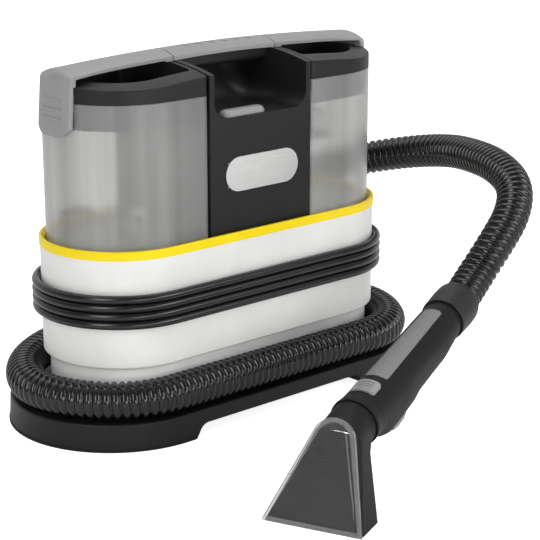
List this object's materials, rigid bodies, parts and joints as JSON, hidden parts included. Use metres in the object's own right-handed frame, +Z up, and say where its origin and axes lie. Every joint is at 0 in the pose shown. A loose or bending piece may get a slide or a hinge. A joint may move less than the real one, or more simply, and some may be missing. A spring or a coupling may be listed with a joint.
{
  "type": "spot extractor",
  "caption": "Carried spot extractor with lift-out fresh and dirty water tanks, a wound mains lead, a ribbed suction hose and a hand nozzle.",
  "frame": {"origin": "middle of the rest face under the base, which is the middle of the base in plan", "axes": "+Z up, +X along the long side towards the dirty-water tank, -Y the front with the hand recess and badge"},
  "size_m": [0.5273, 0.4813, 0.3386],
  "materials": {
    "charcoal": "fine satin texture",
    "white_shell": "satin",
    "yellow_ring": "satin gloss",
    "grey_grip": "satin",
    "textured_grey": "fine grained",
    "smoke_tank": "smoky translucent",
    "clear_cover": "clear gloss",
    "badge_metal": "brushed",
    "black_inner": "plain moulded",
    "pale_inner": "plain moulded",
    "rubber": "matt",
    "valve_red": "matt",
    "steel": "zinc plated",
    "pump_case": "moulded",
    "clear_tube": "translucent silicone",
    "board_green": "solder mask",
    "filter_pleat": "pleated",
    "hose": "glossy ribbed",
    "lead": "semi-gloss sheath"
  },
  "bodies": {
    "machine": {"base_tray": "charcoal", "floor_plate": "black_inner", "rubber_feet": "rubber", "housing_screws": "steel", "lower_housing": "white_shell", "upper_housing": "white_shell", "accent_ring": "yellow_ring", "exhaust_grille": "black_inner", "air_filter": "filter_pleat", "centre_column": "charcoal", "recess_liner": "charcoal", "carry_grip": "grey_grip", "grip_beam": "charcoal", "badge_plate": "badge_metal", "power_switch": "black_inner", "outlet_socket": "pale_inner", "suction_duct": "black_inner", "inlet_pipe": "black_inner", "fan_cover": "black_inner", "fan_motor": "steel", "motor_mount": "rubber", "water_pump": "pump_case", "pump_cradle": "black_inner", "feed_tube": "clear_tube", "circuit_board": "board_green", "hose_connector": "charcoal", "suction_hose": "hose", "cable_gland": "black_inner", "lead_start": "lead", "lead_coil": "lead", "lead_tail": "lead", "cord_clip": "black_inner", "mains_plug": "black_inner", "wand_upper_shell": "charcoal", "wand_lower_shell": "charcoal", "wand_inlay": "textured_grey", "trigger_pin": "steel", "wand_pipe": "black_inner"},
    "fresh_tank": {"fresh_tank": "smoke_tank", "valve_cage": "pale_inner", "valve_spring": "steel"},
    "fresh_lid": {"fresh_lid": "charcoal", "fresh_lid_arm": "grey_grip", "fresh_gasket": "rubber"},
    "tank_valve": {"tank_valve": "valve_red"},
    "dirt_tank": {"dirt_tank": "smoke_tank", "standpipe": "grey_grip"},
    "dirt_lid": {"dirt_lid": "charcoal", "dirt_lid_arm": "grey_grip", "dirt_gasket": "rubber", "float_cage": "pale_inner"},
    "float": {"float_ball": "pale_inner"},
    "fan": {"fan_impeller": "pale_inner"},
    "power_button": {"power_button": "grey_grip"},
    "release_button": {"release_button": "grey_grip"},
    "trigger": {"trigger": "grey_grip"},
    "swivel_collar": {"swivel_collar": "black_inner"},
    "nozzle": {"nozzle_body": "charcoal", "nozzle_cover": "clear_cover", "spray_tip": "black_inner"}
  },
  "joints": [
    {"name": "fresh_tank_lift", "type": "slide", "parent": "machine", "child": "fresh_tank", "axis": [0, 0, 1], "range_m": [0, 0.15]},
    {"name": "dirt_tank_lift", "type": "slide", "parent": "machine", "child": "dirt_tank", "axis": [0, 0, 1], "range_m": [0, 0.15]},
    {"name": "fresh_lid_lift", "type": "slide", "parent": "fresh_tank", "child": "fresh_lid", "axis": [0, 0, 1], "range_m": [0, 0.05]},
    {"name": "dirt_lid_lift", "type": "slide", "parent": "dirt_tank", "child": "dirt_lid", "axis": [0, 0, 1], "range_m": [0, 0.05]},
    {"name": "float_rise", "type": "slide", "parent": "dirt_lid", "child": "float", "axis": [0, 0, 1], "range_m": [0, 0.022]},
    {"name": "tank_valve_open", "type": "slide", "parent": "fresh_tank", "child": "tank_valve", "axis": [0, 0, 1], "range_m": [0, 0.004], "stiffness_N_per_m": 80, "deforming": ["valve_spring"]},
    {"name": "power_button_press", "type": "slide", "parent": "machine", "child": "power_button", "axis": [0, 0, -1], "range_m": [0, 0.003], "stiffness_N_per_m": 600},
    {"name": "trigger_squeeze", "type": "hinge", "parent": "machine", "child": "trigger", "pos_m": [-0.03108, -0.26596, 0.04762], "axis": [0.3123, -0.95, 0], "range_deg": [0, 6], "stiffness_Nm_per_rad": 1.2},
    {"name": "release_button_press", "type": "slide", "parent": "machine", "child": "release_button", "axis": [0.2137, 0.0703, -0.9744], "range_m": [0, 0.0015], "stiffness_N_per_m": 500},
    {"name": "nozzle_pull", "type": "slide", "parent": "machine", "child": "nozzle", "axis": [-0.9256, -0.3043, -0.225], "range_m": [0, 0.04]},
    {"name": "collar_swivel", "type": "hinge", "parent": "machine", "child": "swivel_collar", "pos_m": [0.09188, -0.22553, 0.10931], "axis": [0.9256, 0.3043, 0.225], "continuous": true},
    {"name": "fan_spin", "type": "hinge", "parent": "machine", "child": "fan", "pos_m": [0.084, 0, 0.08], "axis": [0, 0, 1], "continuous": true}
  ]
}
